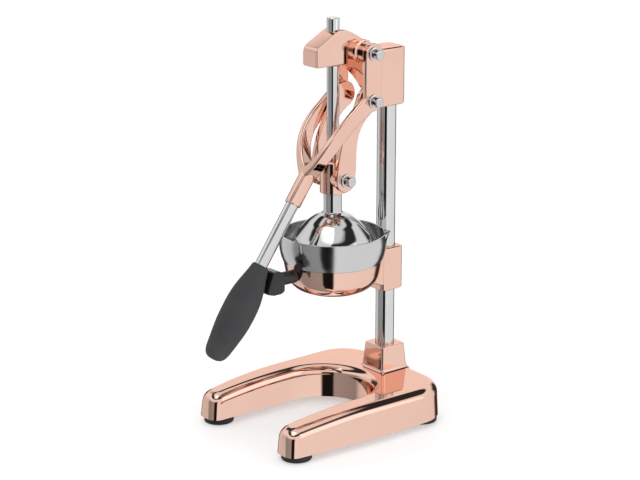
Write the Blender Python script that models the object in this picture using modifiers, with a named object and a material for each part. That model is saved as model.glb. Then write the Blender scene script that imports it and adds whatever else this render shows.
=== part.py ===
"""Lever citrus press: polished copper castings, chrome column, plunger, dish and lever.

Every dimension below is in millimetres and is turned into metres when a mesh is made.
Press frame: Z up, X to the machine's right, Y towards the column, with the plunger
axis at X = 0, Y = 0 and the table at Z = 0.  The root empty shifts that frame so that
the origin of the file is under the middle of the whole press.
"""
import bpy
import bmesh
from math import pi, sin, cos, tan, sqrt, radians, atan2
from mathutils import Matrix, Vector

for old in list(bpy.data.objects):
    bpy.data.objects.remove(old, do_unlink=True)

MM = 0.001
GAP = 0.3                      # clearance between pieces that touch
SHIFT_Y = 33.69                # puts the middle of the press over the origin

# --- base casting -----------------------------------------------------------
BASE_BOTTOM = 7.0
BASE_TOP_FRONT = 34.6          # height of the top face at the toes
BASE_TOP_REAR = 43.2           # height of the top face at the back
BASE_FRONT_Y = -124.0
BASE_REAR_Y = 100.0
BASE_HALF_TOE = 86.0
BASE_HALF_MID = 91.5
BASE_HALF_REAR = 92.5
U_CENTRE_Y = -14.0
U_RADIUS = 53.0
BASE_WALL = 5.0
FEET = {"front_right": (69.7, -105.2), "front_left": (-69.7, -105.2),
        "rear_right": (69.7, 71.3), "rear_left": (-69.7, 71.3)}
FOOT_RADIUS = 16.4
FOOT_HEIGHT = 8.0

# --- column and head ----------------------------------------------------------
COLUMN_Y = 75.5
COLUMN_RADIUS = 10.5
COLUMN_BOTTOM = 20.0
COLUMN_TOP = 400.0
SOCKET_TOP = 71.6
HEAD_HALF = 12.0               # half width of the nose
HEAD_BLOCK_HALF = 15.0         # half width of the column block

# --- linkage ------------------------------------------------------------------
P1 = (31.0, 410.2)             # lever pivot on the head (Y, Z)
P2 = (30.8, 359.2)             # lever to link pivot
P3 = (0.0, 275.5)              # link to plunger pivot
CHEEK_IN, CHEEK_OUT = 25.0, 31.5
LINK_IN, LINK_OUT = 17.5, 23.5
PIN_RADIUS = 4.0

# --- plunger, dish and holder ---------------------------------------------------
ROD_RADIUS = 6.7
ROD_TOP = 448.4
COLLAR_RADIUS = 14.0
COLLAR_BOTTOM, COLLAR_TOP = 258.3, 294.0
RIM_RADIUS = 57.5
RIM_TOP = 214.0

# --- hand lever -----------------------------------------------------------------
JUNCTION = (-33.3, 284.5)      # where the two arms meet the socket (Y, Z)
LEVER_TILT = radians(-35.5)    # lever axis from straight down, towards the front
LEVER_ROD_RADIUS = 7.0
SOCKET_RADIUS = 8.8
SOCKET_LENGTH = 38.0
GRIP_START = 111.0             # distance from the junction to the grip
GRIP_LENGTH = 111.0


def new_collection(name):
    found = bpy.data.collections.new(name)
    bpy.context.scene.collection.children.link(found)
    return found


PRESS = new_collection("lever_citrus_press")
TOOLS = new_collection("cutters")


def paint(name, colour, metallic, roughness):
    mat = bpy.data.materials.new(name)
    mat.use_nodes = True
    shader = mat.node_tree.nodes["Principled BSDF"]
    shader.inputs["Base Color"].default_value = (*colour, 1.0)
    shader.inputs["Metallic"].default_value = metallic
    shader.inputs["Roughness"].default_value = roughness
    mat.diffuse_color = (*colour, 1.0)
    return mat


COPPER = ((0.93, 0.55, 0.42), 1.0, 0.08)
CHROME = ((0.78, 0.78, 0.79), 1.0, 0.08)
STEEL = ((0.60, 0.60, 0.61), 1.0, 0.30)
BRONZE = ((0.62, 0.45, 0.22), 1.0, 0.35)
RUBBER = ((0.02, 0.02, 0.022), 0.0, 0.75)
GRIP = ((0.045, 0.047, 0.05), 0.0, 0.70)
PLASTIC = ((0.02, 0.02, 0.022), 0.0, 0.35)


def empty(name, where, parent=None):
    node = bpy.data.objects.new(name, None)
    node.empty_display_size = 0.02
    node.location = Vector(where) * MM
    node.parent = parent
    PRESS.objects.link(node)
    return node


ROOT = empty("press_root", (0.0, SHIFT_Y, 0.0))
LEVER_AXIS = empty("lever_axis", (0.0, *P1), ROOT)
LINK_AXIS = empty("link_axis", (0.0, P2[0] - P1[0], P2[1] - P1[1]), LEVER_AXIS)
PLUNGER_AXIS = empty("plunger_axis", (0.0, 0.0, P3[1]), ROOT)
DISH_AXIS = empty("dish_axis", (0.0, 0.0, RIM_TOP), ROOT)
CENTRES = {ROOT: (0.0, 0.0, 0.0), LEVER_AXIS: (0.0, *P1), LINK_AXIS: (0.0, *P2),
           PLUNGER_AXIS: (0.0, 0.0, P3[1]), DISH_AXIS: (0.0, 0.0, RIM_TOP)}


def add_object(name, verts, faces, look=None, parent=None, at=(0, 0, 0), turn=(0, 0, 0),
               smooth=None):
    """One closed mesh.  Vertices are relative to the press-frame point given by at."""
    mesh = bpy.data.meshes.new(name)
    mesh.from_pydata([Vector(v) * MM for v in verts], [], faces)
    work = bmesh.new()
    work.from_mesh(mesh)
    bmesh.ops.remove_doubles(work, verts=work.verts, dist=1e-7)
    bmesh.ops.recalc_face_normals(work, faces=work.faces)
    work.to_mesh(mesh)
    work.free()
    obj = bpy.data.objects.new(name, mesh)
    parent = parent or ROOT
    obj.parent = parent
    obj.location = (Vector(at) - Vector(CENTRES[parent])) * MM
    obj.rotation_euler = turn
    if look is None:
        TOOLS.objects.link(obj)
        obj.hide_render = True
        obj.display_type = "WIRE"
    else:
        PRESS.objects.link(obj)
        mesh.materials.append(paint(name + "_finish", *look))
    if smooth is not None:
        mesh.shade_smooth()
        mesh.set_sharp_from_angle(angle=radians(smooth))
    return obj


def lathe(profile, steps, closed=False, bend=None):
    """Verts and faces of a turned body from (radius, height) points.

    An open profile starts and ends on the axis; a closed one is a ring."""
    verts, faces, rows = [], [], []
    for r, h in profile:
        if r < 1e-6:
            rows.append([len(verts)])
            verts.append((0.0, 0.0, h))
        else:
            rows.append(list(range(len(verts), len(verts) + steps)))
            for k in range(steps):
                a = 2 * pi * k / steps
                verts.append((r * cos(a), r * sin(a), h))
    if bend:
        verts = [bend(*v) for v in verts]
    pairs = list(zip(rows, rows[1:])) + ([(rows[-1], rows[0])] if closed else [])
    for low, high in pairs:
        for k in range(steps):
            n = (k + 1) % steps
            if len(low) == 1 and len(high) == 1:
                continue
            if len(low) == 1:
                faces.append((low[0], high[k], high[n]))
            elif len(high) == 1:
                faces.append((low[k], low[n], high[0]))
            else:
                faces.append((low[k], low[n], high[n], high[k]))
    return verts, faces


def turned(name, profile, look=None, parent=None, at=(0, 0, 0), turn=(0, 0, 0), steps=32,
           closed=False, bend=None, smooth=35):
    verts, faces = lathe(profile, steps, closed, bend)
    return add_object(name, verts, faces, look, parent, at, turn, smooth)


def loft(rings):
    """Verts and faces of a closed body through rings of the same count, capped flat."""
    count = len(rings[0])
    verts = [p for ring in rings for p in ring]
    faces = [tuple(range(count))[::-1], tuple(range(count * (len(rings) - 1), count * len(rings)))]
    for level in range(len(rings) - 1):
        a, b = level * count, (level + 1) * count
        for k in range(count):
            n = (k + 1) % count
            faces.append((a + k, a + n, b + n, b + k))
    return verts, faces


def plate(name, outline, x0, x1, look=None, parent=None, at=(0, 0, 0), edge=0.0):
    """A flat plate: an outline in Y and Z given a thickness in X."""
    ring = [(y - at[1], z - at[2]) for y, z in outline]
    verts, faces = loft([[(x0, y, z) for y, z in ring], [(x1, y, z) for y, z in ring]])
    obj = add_object(name, verts, faces, look, parent, at, smooth=30)
    if edge:
        soften(obj, edge)
    return obj


def soften(obj, width, segments=2, angle=40):
    mod = obj.modifiers.new("Edge", "BEVEL")
    mod.width = width * MM
    mod.segments = segments
    mod.limit_method = "ANGLE"
    mod.angle_limit = radians(angle)
    mod.use_clamp_overlap = True
    return mod


def combine(obj, other, operation):
    mod = obj.modifiers.new(operation.title(), "BOOLEAN")
    mod.solver = "EXACT"
    mod.operation = operation
    mod.object = other


def cut(obj, *others):
    for other in others:
        combine(obj, other, "DIFFERENCE")


def join(obj, *others):
    for other in others:
        combine(obj, other, "UNION")


def arc(cx, cy, r, start, end, count):
    return [(cx + r * cos(radians(start + (end - start) * k / count)),
             cy + r * sin(radians(start + (end - start) * k / count)))
            for k in range(count + 1)]


def pin_cutter(name, radius, start, length, turn, steps=24):
    """A plain cylinder that starts at a point and runs along its own Z."""
    prof = [(0, 0), (radius, 0), (radius, length), (0, length)]
    return turned(name, prof, at=start, turn=turn, steps=steps)


# ------------------------------------------------------------------ base casting
def base_outline(out, inn, front, rear, corner=12.0, rear_corner=45.0):
    """Plan of the horseshoe, drawn in by its own amount on each side."""
    r = U_RADIUS + inn
    yf, yr = BASE_FRONT_Y + front, BASE_REAR_Y - rear
    toe, mid, back = BASE_HALF_TOE - out, BASE_HALF_MID - out, BASE_HALF_REAR - out
    half = [(x, y) for x, y in arc(0, U_CENTRE_Y, r, 90, 0, 12)]
    half += arc(r + corner, yf + corner, corner, 180, 270, 5)
    half += arc(toe - corner, yf + corner, corner, 270, 360, 5)
    half += [(toe + (mid - toe) * 0.62, -70.0), (mid, -20.0), (back - 0.3, 25.0)]
    half += arc(back - rear_corner, yr - rear_corner, rear_corner, 0, 90, 8)
    half += [(24.0, yr + 0.6), (0.0, yr + 0.8)]
    return half + [(-x, y) for x, y in reversed(half[1:-1])]


def base_top(y):
    """Height of the top face: a straight slope at the toes, an arch, then level."""
    rise = BASE_TOP_REAR - BASE_TOP_FRONT
    if y >= -14.0:
        return BASE_TOP_REAR
    if y >= -104.0:
        return BASE_TOP_REAR - rise * ((-14.0 - y) / 110.0) ** 2
    return base_top(-104.0) + (y + 104.0) * 2 * rise * 90.0 / 110.0 ** 2


def arch_top(obj, step):
    """Slice the level top of the legs across, mark its rim, and drop it to base_top."""
    work = bmesh.new()
    work.from_mesh(obj.data)
    y = -104.0
    while y < -15.0:
        bmesh.ops.bisect_plane(work, geom=work.verts[:] + work.edges[:] + work.faces[:], dist=1e-6,
                               plane_co=(0, y * MM, 0), plane_no=(0, 1, 0))
        y += step
    weight = work.edges.layers.float.new("bevel_weight_edge")
    for edge in work.edges:
        if sum(face.normal.z > 0.99 for face in edge.link_faces) == 1:
            edge[weight] = 1.0
    for vert in work.verts:
        if vert.co.z > 0.03:
            vert.co.z = base_top(vert.co.y / MM) * MM
    work.to_mesh(obj.data)
    work.free()


def rounded_square(cx, cy, half_x, half_y, r, count=4):
    pts = []
    for sx, sy, start in ((1, 1, 0), (-1, 1, 90), (-1, -1, 180), (1, -1, 270)):
        pts += arc(cx + sx * (half_x - r), cy + sy * (half_y - r), r, start, start + 90, count)
    return pts


low = [(x, y, BASE_BOTTOM) for x, y in base_outline(0, 0, 0, 0)]
high = [(x, y, BASE_TOP_REAR) for x, y in base_outline(2.0, 0.8, 2.5, 2.0, 12.5, 43.0)]
base = add_object("base_casting", *loft([low, high]), COPPER, smooth=30)
arch_top(base, 8.0)
round_top = base.modifiers.new("Round top edge", "BEVEL")
round_top.width = 11.0 * MM
round_top.segments = 5
round_top.limit_method = "WEIGHT"

flare = []
for z, half in ((34.0, 20.2), (42.6, 19.6), (45.0, 18.6), (SOCKET_TOP - 1.0, 16.4), (SOCKET_TOP, 15.4)):
    flare.append([(x, y, z) for x, y in rounded_square(0, COLUMN_Y, half, half, 4.0)])
join(base, add_object("socket_form", *loft(flare)))

w = BASE_WALL
floor_ring = [(x, y, 3.0) for x, y in base_outline(w, w, w, w, 6.0, 40.0)]
roof_ring = [(x, y, 27.0) for x, y in base_outline(w + 4, w + 3, w + 4, w + 4, 5.0, 36.0)]
pocket = add_object("pocket_form", *loft([floor_ring, roof_ring]))
for tag, (fx, fy) in FEET.items():
    cut(pocket, pin_cutter("boss_" + tag, 11.0, (fx, fy, 0.0), 45.0, (0, 0, 0), 20))
cut(pocket, pin_cutter("boss_column", 17.5, (0, COLUMN_Y, 0.0), 45.0, (0, 0, 0), 24))
cut(base, pocket,
    pin_cutter("column_bore_low", COLUMN_RADIUS + GAP, (0, COLUMN_Y, COLUMN_BOTTOM - GAP), 60, (0, 0, 0), 32),
    pin_cutter("column_bolt_hole", 4.3, (0, COLUMN_Y, 0), 30, (0, 0, 0), 20),
    pin_cutter("column_bolt_recess", 9.5, (0, COLUMN_Y, 0), 14.0, (0, 0, 0), 24))
for tag, (fx, fy) in FEET.items():
    cut(base, pin_cutter("foot_hole_" + tag, 2.3, (fx, fy, 0.0), 22.0, (0, 0, 0), 16))

# ------------------------------------------------------------------ feet
for tag, (fx, fy) in FEET.items():
    h = BASE_BOTTOM - GAP
    pad = [(2.4, 2.6), (5.6, 2.6), (5.6, 0.0), (FOOT_RADIUS - 1.2, 0.0), (FOOT_RADIUS, 1.0),
           (FOOT_RADIUS, h - 0.8), (FOOT_RADIUS - 0.8, h), (2.4, h)]
    turned("foot_pad_" + tag, pad, RUBBER, at=(fx, fy, 0.0), steps=22, closed=True)
    screw = [(0, 0.5), (4.6, 0.5), (5.0, 0.9), (5.0, 2.2), (2.0, 2.3), (2.0, 20.0), (1.4, 21.0), (0, 21.0)]
    turned("foot_screw_" + tag, screw, STEEL, at=(fx, fy, 0.0), steps=12)

# ------------------------------------------------------------------ column
column = [(0, COLUMN_BOTTOM + 26), (4.3, COLUMN_BOTTOM + 26), (4.3, COLUMN_BOTTOM),
          (COLUMN_RADIUS - 0.8, COLUMN_BOTTOM), (COLUMN_RADIUS, COLUMN_BOTTOM + 0.8),
          (COLUMN_RADIUS, COLUMN_TOP - 0.8), (COLUMN_RADIUS - 0.8, COLUMN_TOP), (0, COLUMN_TOP)]
turned("column_bar", column, CHROME, at=(0, COLUMN_Y, 0), steps=40)
turned("column_washer", [(4.3, 12.0), (9.0, 12.0), (9.0, 13.7), (4.3, 13.7)], STEEL,
       at=(0, COLUMN_Y, 0), steps=24, closed=True)
bolt = [(0, 5.5), (7.0, 5.5), (7.5, 6.0), (7.5, 11.7), (PIN_RADIUS, 11.7), (PIN_RADIUS, 42.0),
        (3.2, 43.0), (0, 43.0)]
turned("column_bolt", bolt, STEEL, at=(0, COLUMN_Y, 0), steps=24)

# ------------------------------------------------------------------ head casting
block = []
for z, half, r in ((346.0, 14.0, 6.0), (347.2, 15.0, 7.0), (408.6, 15.0, 7.0), (410.0, 13.8, 6.0)):
    block.append([(x, y, z) for x, y in rounded_square(0, 71.5, half, half + 4.5, r)])
head = add_object("head_casting", *loft(block), COPPER, smooth=35)
nose_side = [(-31.0, 399.0), (4.0, 398.8), (13.6, 396.5), (21.0, 392.3), (28.8, 386.5), (37.0, 378.5),
             (44.5, 369.0), (50.0, 360.0), (56.0, 352.0), (70.0, 352.0), (70.0, 404.0), (58.0, 405.0),
             (52.0, 412.6), (40.0, 418.6), (20.0, 429.6), (9.0, 435.4), (4.0, 436.0), (-1.0, 435.8),
             (-6.0, 433.4), (-28.0, 421.2), (-31.0, 417.6)]
nose = plate("nose_form", nose_side, -HEAD_HALF, HEAD_HALF, edge=1.6)
pad = add_object("front_pad_form", *loft([
    [(x, -29.0, 408.0 + z) for x, z in rounded_square(0, 0, 10.8, 7.8, 1.5, 2)],
    [(x, -32.2, 408.0 + z) for x, z in rounded_square(0, 0, 10.2, 7.2, 1.5, 2)]]))
join(head, nose, pad)
for side, tag in ((1, "right"), (-1, "left")):
    boss = [(0, 0), (13.0, 0), (13.0, 2.2), (11.0, 3.2), (11.0, 12.2), (10.4, 12.8), (0, 12.8)]
    join(head, turned("boss_form_" + tag, boss, at=(side * 11.9, *P1), turn=(0, side * pi / 2, 0), steps=32))
cut(head,
    pin_cutter("column_bore_high", COLUMN_RADIUS + GAP, (0, COLUMN_Y, 340), COLUMN_TOP + GAP - 340, (0, 0, 0), 32),
    turned("rod_bore", [(0, 390), (9.0, 390), (9.0, 416), (ROD_RADIUS + GAP, 416), (ROD_RADIUS + GAP, 450), (0, 450)],
           steps=28),
    pin_cutter("pivot_bore", PIN_RADIUS + GAP, (-30, *P1), 60, (0, pi / 2, 0), 24),
    pin_cutter("head_screw_hole", 3.3, (0, COLUMN_Y + COLUMN_RADIUS - 2, 378), 20, (-pi / 2, 0, 0), 20))
bush = [(ROD_RADIUS + GAP, 397.4), (8.2, 397.4), (8.7, 397.9), (8.7, 415.5), (ROD_RADIUS + GAP, 415.5)]
turned("guide_bush", bush, BRONZE, steps=32, closed=True)
set_screw = [(0, 0), (2.2, 0), (3.0, 0.8), (3.0, 4.4), (1.6, 4.4), (0, 3.0)]
turned("head_set_screw", set_screw, STEEL, at=(0, COLUMN_Y + COLUMN_RADIUS + GAP, 378),
       turn=(-pi / 2, 0, 0), steps=16)

# ------------------------------------------------------------------ bowl holder
shell = [(0, 149.0), (20, 149.0), (34, 150.5), (42, 154.5), (48, 161.0), (50.6, 167.0), (52, 173.0),
         (54.0, 183.4), (0, 183.4)]
holder = turned("bowl_holder", shell, COPPER, steps=40)
arm_rings = []
for y, half, z0, z1 in ((30.0, 13.0, 152.0, 180.0), (52.0, 13.2, 147.0, 182.0), (66.0, 13.4, 141.0, 183.0)):
    arm_rings.append([(x, y, z) for x, z in rounded_square(0, (z0 + z1) / 2, half, (z1 - z0) / 2, 3.0, 2)])
collar_rings = []
for z, half, r in ((137.0, 13.6, 5.0), (138.2, 14.6, 6.0), (184.8, 15.0, 6.0), (186.0, 14.0, 5.0)):
    collar_rings.append([(x, y, z) for x, y in rounded_square(0, COLUMN_Y - 0.5, half, half, r)])
join(holder, add_object("arm_form", *loft(arm_rings)), add_object("holder_collar_form", *loft(collar_rings)))
inside = [(0, 190.0), (51.0, 190.0), (51.0, 183.4), (49.0, 173.5), (45.2, 163.2), (40.0, 157.6), (33.0, 153.8),
          (19.0, 152.2), (17.0, 150.0), (17.0, 140.0), (0, 140.0)]
cut(holder, turned("bowl_space", inside, steps=40),
    pin_cutter("holder_bore", COLUMN_RADIUS + GAP, (0, COLUMN_Y, 130), 70, (0, 0, 0), 32),
    pin_cutter("holder_screw_hole", 3.3, (0, COLUMN_Y + COLUMN_RADIUS - 2, 161), 20, (-pi / 2, 0, 0), 20),
    pin_cutter("rest_screw_hole", 2.3, (0, -60, 174), 20, (-pi / 2, 0, 0), 16))
turned("holder_set_screw", [(0, 0), (2.2, 0), (3.0, 0.8), (3.0, 3.2), (1.6, 3.2), (0, 2.0)], STEEL,
       at=(0, COLUMN_Y + COLUMN_RADIUS + GAP, 161), turn=(-pi / 2, 0, 0), steps=16)

# ------------------------------------------------------------------ lever rest
rest = turned("lever_rest", [(0, 0), (7.2, 0), (7.2, 22.0), (0, 22.0)], PLASTIC, at=(0, -53.4, 174.0),
              turn=(pi / 2, 0, 0), steps=32)
rest_side = [(-73.5, 163.5), (-73.5, 183.0), (-79.0, 186.0), (-88.5, 187.0), (-91.5, 179.5),
             (-96.0, 168.0), (-96.5, 163.5), (-88.0, 161.0), (-78.0, 161.0)]
rest_head = plate("rest_head_form", rest_side, -11.0, 11.0, edge=1.6)
join(rest, rest_head)
rest_floor = -53.4
cut(rest, turned("rest_fit", [(0, 183.4), (54.0 + GAP, 183.4), (52 + GAP, 173.0), (50.6 + GAP, 167.0),
                              (48 + GAP, 161.0), (40, 150.0), (0, 150.0)], steps=44),
    turned("rest_screw_way", [(0, 0), (2.3, 0), (2.3, 29.7), (4.4, 29.7), (4.4, 70), (0, 70)],
           at=(0, -40, 174), turn=(pi / 2, 0, 0), steps=16))
turned("rest_screw", [(0, 0), (2.0, 0), (2.0, 18.0), (4.0, 18.0), (4.0, 21.0), (0, 21.0)], STEEL,
       at=(0, -51.7, 174.0), turn=(pi / 2, 0, 0), steps=16)

# ------------------------------------------------------------------ lever fork
ARM_PATH = [  # X, Y, Z of the arm's middle, half depth, half thickness
    (28.25, 30.8, 359.2, 10.6, 3.25), (28.25, 21.0, 354.0, 9.8, 3.25), (28.25, 10.0, 346.2, 8.8, 3.25),
    (28.0, -1.5, 337.3, 8.3, 3.3), (26.6, -12.0, 326.6, 8.1, 3.6), (22.8, -20.5, 315.0, 8.0, 4.0),
    (16.8, -26.5, 303.4, 8.0, 4.4), (9.2, -30.8, 292.6, 8.2, 5.0), (0.0, -34.6, 283.2, 8.6, 6.0)]


def arm_rings_for(side):
    rings = []
    pts = [Vector((side * p[0], p[1], p[2])) for p in ARM_PATH]
    for k, (point, row) in enumerate(zip(pts, ARM_PATH)):
        ahead = pts[min(k + 1, len(pts) - 1)] - pts[max(k - 1, 0)]
        ahead.normalize()
        deep = Vector((0.0, -ahead.z, ahead.y)).normalized()
        thick = ahead.cross(deep).normalized()
        ring = []
        for u, v in rounded_square(0, 0, row[3], row[4], 2.2, 2):
            ring.append(tuple(point + deep * u + thick * v))
        rings.append(ring)
    return rings


def stadium(a, b, r, count=14):
    ang = math_angle(a, b)
    return arc(a[0], a[1], r, ang + 90, ang + 270, count) + arc(b[0], b[1], r, ang - 90, ang + 90, count)


def math_angle(a, b):
    return atan2(b[1] - a[1], b[0] - a[0]) * 180 / pi


fork = turned("lever_fork", [(0, 4.0), (SOCKET_RADIUS - 2.0, 3.0), (SOCKET_RADIUS, -3.0),
                             (SOCKET_RADIUS, 0.8 - SOCKET_LENGTH), (SOCKET_RADIUS - 0.8, -SOCKET_LENGTH),
                             (0, -SOCKET_LENGTH)],
              COPPER, LEVER_AXIS, at=(0, *JUNCTION), turn=(LEVER_TILT, 0, 0), steps=36)
for side, tag in ((1, "right"), (-1, "left")):
    x_in, x_out = sorted((side * CHEEK_IN, side * CHEEK_OUT))
    cheek = plate("cheek_form_" + tag, stadium(P1, P2, 11.2), x_in, x_out, edge=1.2)
    join(fork, cheek, add_object("arm_form_" + tag, *loft(arm_rings_for(side)), smooth=35))
cut(fork,
    pin_cutter("fork_hole_p1", PIN_RADIUS + GAP, (-40, *P1), 80, (0, pi / 2, 0), 24),
    pin_cutter("fork_hole_p2", PIN_RADIUS + GAP, (-40, *P2), 80, (0, pi / 2, 0), 24))
axis = Vector((0.0, sin(LEVER_TILT), -cos(LEVER_TILT)))
socket_start = Vector((0, *JUNCTION)) + axis * 8.0
cut(fork, turned("lever_bore", [(0, 0), (LEVER_ROD_RADIUS + GAP, 0), (LEVER_ROD_RADIUS + GAP, -40), (0, -40)],
                 at=tuple(socket_start), turn=(LEVER_TILT, 0, 0), steps=32))
pin_at = Vector((0, *JUNCTION)) + axis * 26.0
cut(fork, pin_cutter("fork_pin_hole", 1.8, (-12, pin_at.y, pin_at.z), 17, (0, pi / 2, 0), 12))

# ------------------------------------------------------------------ lever rod and grip
rod_end = GRIP_START + 84.0
lever_rod = [(0, -8.4), (LEVER_ROD_RADIUS - 0.6, -8.4), (LEVER_ROD_RADIUS, -9.0), (LEVER_ROD_RADIUS, 0.6 - rod_end),
             (LEVER_ROD_RADIUS - 0.6, -rod_end), (0, -rod_end)]
rod = turned("lever_rod", lever_rod, CHROME, LEVER_AXIS, at=(0, *JUNCTION), turn=(LEVER_TILT, 0, 0), steps=32)
cut(rod, pin_cutter("rod_pin_hole", 1.8, (-12, pin_at.y, pin_at.z), 17, (0, pi / 2, 0), 12))
turned("lever_pin", [(0, -8.6), (1.5, -8.6), (1.5, 4.6), (0, 4.6)], STEEL, LEVER_AXIS,
       at=(0, pin_at.y, pin_at.z), turn=(0, pi / 2, 0), steps=12)
GRIP_TABLE = [(0.0, 8.6), (1.0, 9.4), (5.0, 10.2), (11.0, 11.6), (19.0, 13.8), (28.0, 16.0), (38.0, 17.7),
              (49.0, 18.35), (66.0, 18.0), (84.0, 15.9), (100.0, 13.4), (106.0, 11.2), (109.6, 7.6),
              (111.0, 0.0)]
bore = LEVER_ROD_RADIUS + GAP
grip_profile = [(0.0, -(GRIP_START + 84.4)), (bore, -(GRIP_START + 84.4)), (bore, -GRIP_START)]
grip_profile += [(r, -(GRIP_START + d)) for d, r in GRIP_TABLE]


def grip_bow(x, y, z):
    share = min(max((-z - GRIP_START) / GRIP_LENGTH, 0.0), 1.0)
    outer = sqrt(x * x + y * y) > bore + 1.0
    return (x, y + (1.6 * sin(pi * share) if outer else 0.0), z)


turned("lever_grip", grip_profile, GRIP, LEVER_AXIS, at=(0, *JUNCTION), turn=(LEVER_TILT, 0, 0),
       steps=26, bend=grip_bow)

# ------------------------------------------------------------------ links
link_outline = arc(P3[0], P3[1], 12.9, 165, 375, 16)
link_outline += [(13.5, 286.0), (13.6, 297.0), (14.1, 308.4), (15.6, 317.3), (18.1, 325.3), (22.6, 333.4),
                 (28.6, 340.2), (34.5, 345.0)]
link_outline += arc(P2[0], P2[1], 14.4, -58, 165, 14)
link_outline += [(14.6, 356.0), (10.6, 347.5), (4.6, 337.0), (-1.2, 326.0), (-5.9, 314.6), (-9.6, 301.0),
                 (-11.8, 288.0)]


def cap_bolt(name, y, z, side, x_face, x_end, parent):
    """Cap bolt that enters from outside: collar, round head, shank to x_end."""
    shank = x_face - x_end
    prof = [(0, -shank), (PIN_RADIUS - 0.5, -shank), (PIN_RADIUS, -shank + 0.5), (PIN_RADIUS, 0.0), (5.6, 0.0),
            (5.6, 6.6), (4.9, 7.6), (3.2, 7.9), (0, 7.9)]
    return turned(name, prof, CHROME, parent, at=(side * x_face, y, z), turn=(0, side * pi / 2, 0), steps=16)


def ring_washer(name, y, z, side, x0, x1, radius, parent, look=CHROME):
    t = x1 - x0
    prof = [(PIN_RADIUS + GAP, 0), (radius, 0), (radius, t - 0.4), (radius - 0.4, t), (PIN_RADIUS + GAP, t)]
    return turned(name, prof, look, parent, at=(side * x0, y, z), turn=(0, side * pi / 2, 0), steps=16, closed=True)


for side, tag in ((1, "right"), (-1, "left")):
    x_in, x_out = sorted((side * LINK_IN, side * LINK_OUT))
    link = plate("link_" + tag, link_outline, x_in, x_out, COPPER, LINK_AXIS, at=(0, *P2), edge=1.2)
    cut(link, pin_cutter("link_hole_p2_" + tag, PIN_RADIUS + GAP, (side * (LINK_IN + 1.2), *P2), 20, (0, side * pi / 2, 0)),
        pin_cutter("link_hole_p3_" + tag, PIN_RADIUS + GAP, (side * (LINK_IN + 1.2), *P3), 20, (0, side * pi / 2, 0)))
    ring_washer("pivot_washer_" + tag, *P1, side, CHEEK_OUT + GAP, CHEEK_OUT + 1.8, 7.8, ROOT)
    cap_bolt("pivot_bolt_" + tag, *P1, side, CHEEK_OUT + 2.1, 13.0, ROOT)
    ring_washer("fork_washer_" + tag, *P2, side, CHEEK_OUT + GAP, CHEEK_OUT + 1.8, 7.8, LEVER_AXIS)
    ring_washer("fork_spacer_" + tag, *P2, side, LINK_OUT + 0.25, CHEEK_IN - 0.25, 9.0, LEVER_AXIS, STEEL)
    cap_bolt("fork_bolt_" + tag, *P2, side, CHEEK_OUT + 2.1, LINK_IN + 1.5, LEVER_AXIS)
    ring_washer("link_washer_" + tag, *P3, side, LINK_OUT + GAP, LINK_OUT + 1.8, 7.8, LINK_AXIS)
    cap_bolt("link_bolt_" + tag, *P3, side, LINK_OUT + 2.1, LINK_IN + 1.5, LINK_AXIS)

# ------------------------------------------------------------------ plunger
rod_profile = [(0, 222.0), (ROD_RADIUS - 0.6, 222.0), (ROD_RADIUS, 222.6), (ROD_RADIUS, ROD_TOP - 1.0),
               (ROD_RADIUS - 1.0, ROD_TOP), (0, ROD_TOP)]
centre_z = P3[1]
plunger = turned("plunger_rod", [(r, z - centre_z) for r, z in rod_profile], CHROME, PLUNGER_AXIS,
                 at=(0, 0, centre_z), steps=36)
collar_profile = [(0, COLLAR_BOTTOM), (COLLAR_RADIUS - 0.8, COLLAR_BOTTOM),
                  (COLLAR_RADIUS, COLLAR_BOTTOM + 0.8), (COLLAR_RADIUS, COLLAR_TOP - 2.0),
                  (COLLAR_RADIUS - 2.0, COLLAR_TOP), (0, COLLAR_TOP)]
collar = turned("plunger_collar", [(r, z - centre_z) for r, z in collar_profile], COPPER, PLUNGER_AXIS,
                at=(0, 0, centre_z), steps=32)
cross = turned("collar_boss_form", [(0, -17.2), (10.2, -17.2), (10.8, -16.6), (10.8, 16.6), (10.2, 17.2), (0, 17.2)],
               at=(0, *P3), turn=(0, pi / 2, 0), steps=28)
join(collar, cross)
cut(collar, pin_cutter("collar_bore", ROD_RADIUS + GAP, (0, 0, 240), 70, (0, 0, 0), 28),
    pin_cutter("collar_pin_hole", 2.1, (0, -20, 288.5), 40, (-pi / 2, 0, 0), 16))
cut(plunger, pin_cutter("rod_pin_way", 2.1, (0, -20, 288.5), 40, (-pi / 2, 0, 0), 16))
turned("collar_pin", [(0, -13.4), (1.8, -13.4), (1.8, 13.4), (0, 13.4)], STEEL, PLUNGER_AXIS,
       at=(0, 0, 288.5), turn=(-pi / 2, 0, 0), steps=16)

bell_outer = [(9.9, 258.0), (9.9, 238.0), (12.0, 236.0), (16.5, 234.4), (21.3, 231.6), (27.3, 227.2),
              (36.2, 217.2), (43.8, 206.6), (49.3, 195.0)]
bell_inner = [(47.9, 194.6), (42.4, 205.6), (34.8, 215.8), (26.2, 225.2), (20.6, 228.8), (14.0, 230.6),
              (ROD_RADIUS + GAP, 230.6)]
bell_profile = [(ROD_RADIUS + GAP, 258.0)] + bell_outer + bell_inner
turned("press_bell", [(r, z - centre_z) for r, z in bell_profile], CHROME, PLUNGER_AXIS, at=(0, 0, centre_z),
       steps=36, closed=True)
nut = [(0, 224.0), (11.0, 224.0), (11.6, 224.6), (11.6, 229.6), (11.0, 230.2), (0, 230.2)]
bell_nut = turned("bell_nut", [(r, z - centre_z) for r, z in nut], STEEL, PLUNGER_AXIS, at=(0, 0, centre_z),
                  steps=6, smooth=20)
cut(bell_nut, pin_cutter("nut_bore", ROD_RADIUS + GAP, (0, 0, 215), 30, (0, 0, 0), 28))

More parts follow.
